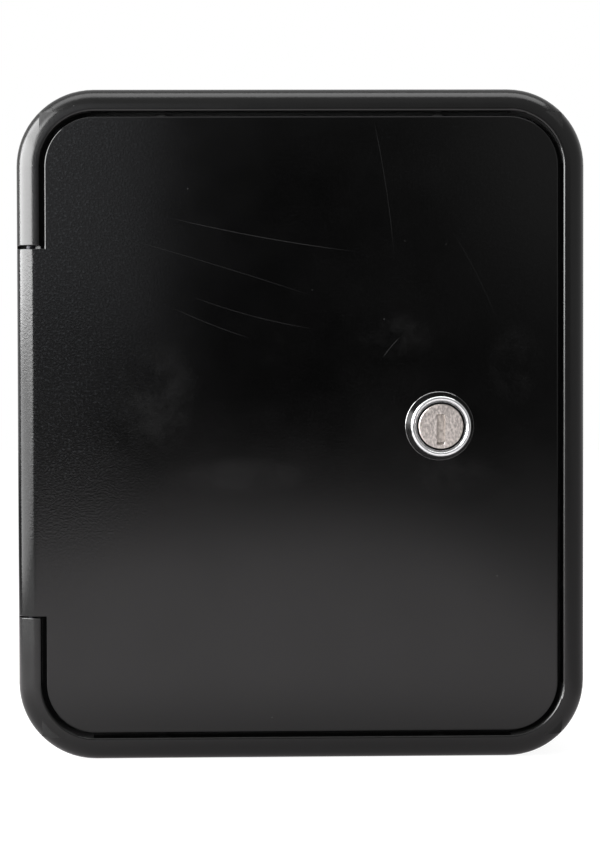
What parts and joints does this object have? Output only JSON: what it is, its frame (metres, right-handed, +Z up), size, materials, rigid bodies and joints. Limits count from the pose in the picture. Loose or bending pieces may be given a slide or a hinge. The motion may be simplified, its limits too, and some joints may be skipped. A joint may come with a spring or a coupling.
{
  "type": "lockable cash cabinet",
  "caption": "Small upright moulded plastic cash cabinet with a side-hung flush door, cam lock, note shelf and lift-out coin tray.",
  "frame": {"origin": "middle of the bottom of the whole object", "axes": "+Z up, the door faces -Y, the hinge is at -X and the lock towards +X"},
  "size_m": [0.184, 0.0856, 0.217],
  "materials": {
    "black_moulding": "fine moulded grain",
    "door_moulding": "semi-gloss, fine moulded grain",
    "liner_moulding": "matt",
    "shelf_moulding": "matt",
    "tray_moulding": "satin",
    "black_rubber": "matt",
    "zinc_steel": "zinc plated",
    "bright_steel": "drawn",
    "lock_chrome": "polished",
    "plug_nickel": "brushed nickel",
    "lock_brass": "machined",
    "blackened_steel": "black oxide"
  },
  "bodies": {
    "cabinet": {"casing": "black_moulding", "front_frame": "black_moulding", "frame_screws": "blackened_steel", "hinge_rod": "blackened_steel", "strike_plate": "blackened_steel", "strike_screws": "blackened_steel", "door_bumpers": "black_rubber", "note_shelf": "shelf_moulding"},
    "door": {"door_panel": "door_moulding", "door_liner": "liner_moulding", "liner_screws": "blackened_steel", "lock_housing": "lock_chrome", "lock_washer": "zinc_steel", "lock_nut": "zinc_steel"},
    "plug": {"lock_plug": "plug_nickel", "lock_wafers": "lock_brass", "wafer_springs": "bright_steel", "shutter_pin": "bright_steel", "stop_plate": "zinc_steel", "lock_cam": "zinc_steel", "cam_washer": "zinc_steel", "cam_screw": "zinc_steel"},
    "shutter": {"dust_shutter": "plug_nickel"},
    "tray": {"coin_tray": "tray_moulding"}
  },
  "joints": [
    {"name": "door_swing", "type": "hinge", "parent": "cabinet", "child": "door", "pos_m": [-0.0875, -0.0338, 0.1085], "axis": [0, 0, -1], "range_deg": [0, 170]},
    {"name": "lock_turn", "type": "hinge", "parent": "door", "child": "plug", "pos_m": [0.0444, -0.0372, 0.108], "axis": [0, 1, 0], "range_deg": [0, 90]},
    {"name": "shutter_flap", "type": "hinge", "parent": "plug", "child": "shutter", "pos_m": [0.04575, -0.04095, 0.108], "axis": [0, 0, -1], "range_deg": [0, 80], "stiffness_Nm_per_rad": 0.0002, "springref_deg": -17.19},
    {"name": "tray_lift", "type": "slide", "parent": "cabinet", "child": "tray", "axis": [0, 0, 1], "range_m": [0, 0.014]}
  ]
}
